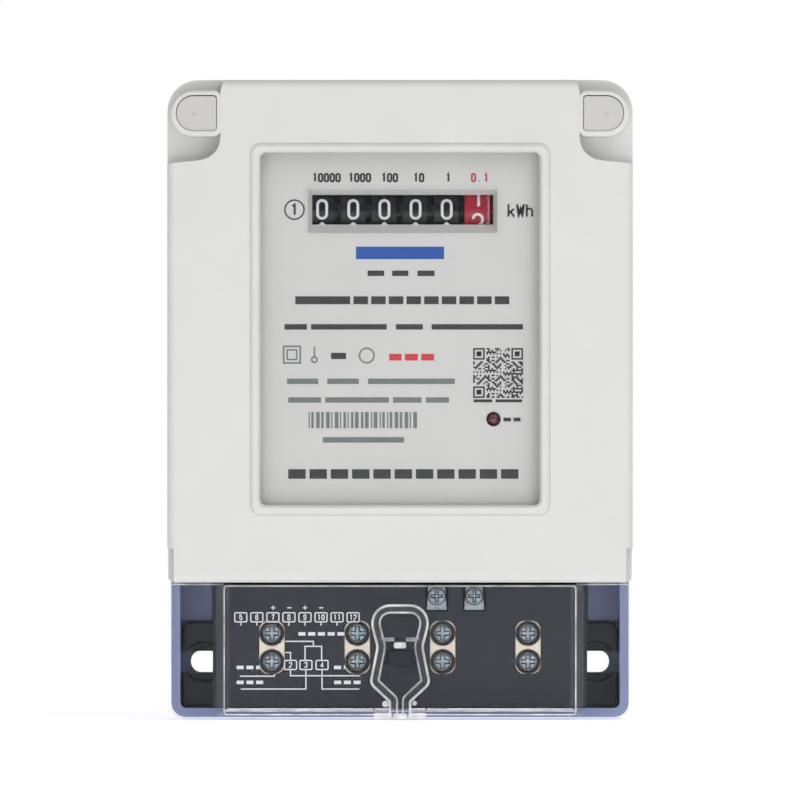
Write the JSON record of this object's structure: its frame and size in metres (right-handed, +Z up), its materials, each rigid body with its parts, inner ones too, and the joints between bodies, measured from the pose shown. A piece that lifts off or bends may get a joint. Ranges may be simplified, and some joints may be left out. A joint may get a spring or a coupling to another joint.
{
  "type": "electricity meter",
  "caption": "Wall-mounted single-phase electricity meter with a drum register behind a window, corner caps and a clear cover over its screw terminals.",
  "frame": {"origin": "middle of the flat back face, on the wall plane", "axes": "+X to the right seen from the front, +Y into the wall, +Z up; the front faces -Y"},
  "size_m": [0.112, 0.056, 0.154],
  "materials": {
    "case_blue": "fine moulded texture",
    "case_white": "satin moulded",
    "rubber": "matt",
    "lens_clear": "polished clear",
    "nameplate": "printed satin",
    "bezel_grey": "satin moulded",
    "block_black": "fine moulded texture",
    "cover_clear": "polished clear",
    "cap_grey": "satin moulded",
    "zinc": "bright zinc plated",
    "steel": "ground",
    "hanger_steel": "zinc plated sheet",
    "terminal_metal": "plated, satin",
    "frame_black": "matt",
    "drum_black": "satin, white printed digits",
    "drum_red": "satin, white printed digits",
    "nylon": "natural",
    "magnet": "ground ferrite",
    "lamination": "varnished laminations",
    "copper": "bright copper",
    "tape_amber": "winding tape",
    "lamp_red": "tinted clear",
    "board_green": "solder mask",
    "capacitor_sleeve": "shrink sleeve"
  },
  "bodies": {
    "case": {"base_shell": "case_blue", "front_cover": "case_white", "case_gasket": "rubber", "window_lens": "lens_clear", "nameplate": "nameplate", "register_bezel": "bezel_grey", "terminal_block": "block_black", "case_screw_left": "zinc", "case_screw_right": "zinc", "register_frame": "frame_black", "drum_shaft": "steel", "pinion_shaft": "steel", "idler_pin": "steel", "stepper_stator": "lamination", "stepper_coil": "copper", "pulse_lamp": "lamp_red", "circuit_board": "board_green", "board_screw_1": "zinc", "board_screw_2": "zinc", "metering_chip": "frame_black", "supply_capacitor": "capacitor_sleeve", "transformer_core": "lamination", "transformer_coil": "tape_amber", "current_shunt": "copper", "block_screw_left": "zinc", "block_screw_right": "zinc", "hanger_plate": "hanger_steel", "main_terminal_1": "terminal_metal", "main_terminal_2": "terminal_metal", "main_terminal_3": "terminal_metal", "main_terminal_4": "terminal_metal", "aux_clamp_1": "zinc", "aux_clamp_2": "zinc"},
    "terminal_cover": {"terminal_cover": "cover_clear"},
    "corner_cap_left": {"corner_cap_left": "cap_grey"},
    "corner_cap_right": {"corner_cap_right": "cap_grey"},
    "terminal_screw_1_upper": {"terminal_screw_1_upper": "zinc"},
    "terminal_screw_1_lower": {"terminal_screw_1_lower": "zinc"},
    "terminal_screw_2_upper": {"terminal_screw_2_upper": "zinc"},
    "terminal_screw_2_lower": {"terminal_screw_2_lower": "zinc"},
    "terminal_screw_3_upper": {"terminal_screw_3_upper": "zinc"},
    "terminal_screw_3_lower": {"terminal_screw_3_lower": "zinc"},
    "terminal_screw_4_upper": {"terminal_screw_4_upper": "zinc"},
    "terminal_screw_4_lower": {"terminal_screw_4_lower": "zinc"},
    "aux_screw_1": {"aux_screw_1": "zinc"},
    "aux_screw_2": {"aux_screw_2": "zinc"},
    "drum_10000": {"drum_10000": "drum_black"},
    "drum_1000": {"drum_1000": "drum_black"},
    "drum_100": {"drum_100": "drum_black"},
    "drum_10": {"drum_10": "drum_black"},
    "drum_1": {"drum_1": "drum_black"},
    "drum_tenths": {"drum_tenths": "drum_red"},
    "transfer_pinion_1": {"transfer_pinion_1": "nylon"},
    "transfer_pinion_2": {"transfer_pinion_2": "nylon"},
    "transfer_pinion_3": {"transfer_pinion_3": "nylon"},
    "transfer_pinion_4": {"transfer_pinion_4": "nylon"},
    "transfer_pinion_5": {"transfer_pinion_5": "nylon"},
    "idler_gear": {"idler_gear": "nylon"},
    "stepper_rotor": {"stepper_rotor": "magnet"}
  },
  "joints": [
    {"name": "terminal_cover_slide", "type": "slide", "parent": "case", "child": "terminal_cover", "axis": [0, -1, 0], "range_m": [0, 0.06]},
    {"name": "corner_cap_left_slide", "type": "slide", "parent": "case", "child": "corner_cap_left", "axis": [0, -1, 0], "range_m": [0, 0.012]},
    {"name": "corner_cap_right_slide", "type": "slide", "parent": "case", "child": "corner_cap_right", "axis": [0, -1, 0], "range_m": [0, 0.012]},
    {"name": "terminal_screw_1_upper_travel", "type": "slide", "parent": "case", "child": "terminal_screw_1_upper", "axis": [0, -1, 0], "range_m": [-0.003, 0.003]},
    {"name": "terminal_screw_1_lower_travel", "type": "slide", "parent": "case", "child": "terminal_screw_1_lower", "axis": [0, -1, 0], "range_m": [-0.003, 0.003]},
    {"name": "terminal_screw_2_upper_travel", "type": "slide", "parent": "case", "child": "terminal_screw_2_upper", "axis": [0, -1, 0], "range_m": [-0.003, 0.003]},
    {"name": "terminal_screw_2_lower_travel", "type": "slide", "parent": "case", "child": "terminal_screw_2_lower", "axis": [0, -1, 0], "range_m": [-0.003, 0.003]},
    {"name": "terminal_screw_3_upper_travel", "type": "slide", "parent": "case", "child": "terminal_screw_3_upper", "axis": [0, -1, 0], "range_m": [-0.003, 0.003]},
    {"name": "terminal_screw_3_lower_travel", "type": "slide", "parent": "case", "child": "terminal_screw_3_lower", "axis": [0, -1, 0], "range_m": [-0.003, 0.003]},
    {"name": "terminal_screw_4_upper_travel", "type": "slide", "parent": "case", "child": "terminal_screw_4_upper", "axis": [0, -1, 0], "range_m": [-0.003, 0.003]},
    {"name": "terminal_screw_4_lower_travel", "type": "slide", "parent": "case", "child": "terminal_screw_4_lower", "axis": [0, -1, 0], "range_m": [-0.003, 0.003]},
    {"name": "aux_screw_1_travel", "type": "slide", "parent": "case", "child": "aux_screw_1", "axis": [0, -1, 0], "range_m": [0, 0.003]},
    {"name": "aux_screw_2_travel", "type": "slide", "parent": "case", "child": "aux_screw_2", "axis": [0, -1, 0], "range_m": [0, 0.003]},
    {"name": "drum_tenths_turn", "type": "hinge", "parent": "case", "child": "drum_tenths", "pos_m": [0, -0.0376, 0.0459], "axis": [-1, 0, 0], "continuous": true},
    {"name": "drum_1_turn", "type": "hinge", "parent": "case", "child": "drum_1", "pos_m": [0, -0.0376, 0.0459], "axis": [-1, 0, 0], "continuous": true},
    {"name": "drum_10_turn", "type": "hinge", "parent": "case", "child": "drum_10", "pos_m": [0, -0.0376, 0.0459], "axis": [-1, 0, 0], "continuous": true},
    {"name": "drum_100_turn", "type": "hinge", "parent": "case", "child": "drum_100", "pos_m": [0, -0.0376, 0.0459], "axis": [-1, 0, 0], "continuous": true},
    {"name": "drum_1000_turn", "type": "hinge", "parent": "case", "child": "drum_1000", "pos_m": [0, -0.0376, 0.0459], "axis": [-1, 0, 0], "continuous": true},
    {"name": "drum_10000_turn", "type": "hinge", "parent": "case", "child": "drum_10000", "pos_m": [0, -0.0376, 0.0459], "axis": [-1, 0, 0], "continuous": true},
    {"name": "transfer_pinion_1_turn", "type": "hinge", "parent": "case", "child": "transfer_pinion_1", "pos_m": [0, -0.03088, 0.05486], "axis": [-1, 0, 0], "continuous": true},
    {"name": "transfer_pinion_2_turn", "type": "hinge", "parent": "case", "child": "transfer_pinion_2", "pos_m": [0, -0.03088, 0.05486], "axis": [-1, 0, 0], "continuous": true},
    {"name": "transfer_pinion_3_turn", "type": "hinge", "parent": "case", "child": "transfer_pinion_3", "pos_m": [0, -0.03088, 0.05486], "axis": [-1, 0, 0], "continuous": true},
    {"name": "transfer_pinion_4_turn", "type": "hinge", "parent": "case", "child": "transfer_pinion_4", "pos_m": [0, -0.03088, 0.05486], "axis": [-1, 0, 0], "continuous": true},
    {"name": "transfer_pinion_5_turn", "type": "hinge", "parent": "case", "child": "transfer_pinion_5", "pos_m": [0, -0.03088, 0.05486], "axis": [-1, 0, 0], "continuous": true},
    {"name": "idler_gear_turn", "type": "hinge", "parent": "case", "child": "idler_gear", "pos_m": [0, -0.02992, 0.04014], "axis": [-1, 0, 0], "continuous": true},
    {"name": "stepper_rotor_turn", "type": "hinge", "parent": "case", "child": "stepper_rotor", "pos_m": [0, -0.02416, 0.03246], "axis": [-1, 0, 0], "continuous": true}
  ],
  "couplings": [
    {"joint": "drum_1_turn", "follows": "drum_tenths_turn", "ratio": 0.1},
    {"joint": "drum_10_turn", "follows": "drum_tenths_turn", "ratio": 0.01},
    {"joint": "drum_100_turn", "follows": "drum_tenths_turn", "ratio": 0.001},
    {"joint": "drum_1000_turn", "follows": "drum_tenths_turn", "ratio": 0.0001},
    {"joint": "drum_10000_turn", "follows": "drum_tenths_turn", "ratio": 0.00001},
    {"joint": "transfer_pinion_1_turn", "follows": "drum_tenths_turn", "ratio": -0.000025},
    {"joint": "transfer_pinion_2_turn", "follows": "drum_tenths_turn", "ratio": -0.00025},
    {"joint": "transfer_pinion_3_turn", "follows": "drum_tenths_turn", "ratio": -0.0025},
    {"joint": "transfer_pinion_4_turn", "follows": "drum_tenths_turn", "ratio": -0.025},
    {"joint": "transfer_pinion_5_turn", "follows": "drum_tenths_turn", "ratio": -0.25},
    {"joint": "idler_gear_turn", "follows": "drum_tenths_turn", "ratio": -3},
    {"joint": "stepper_rotor_turn", "follows": "drum_tenths_turn", "ratio": 9}
  ]
}
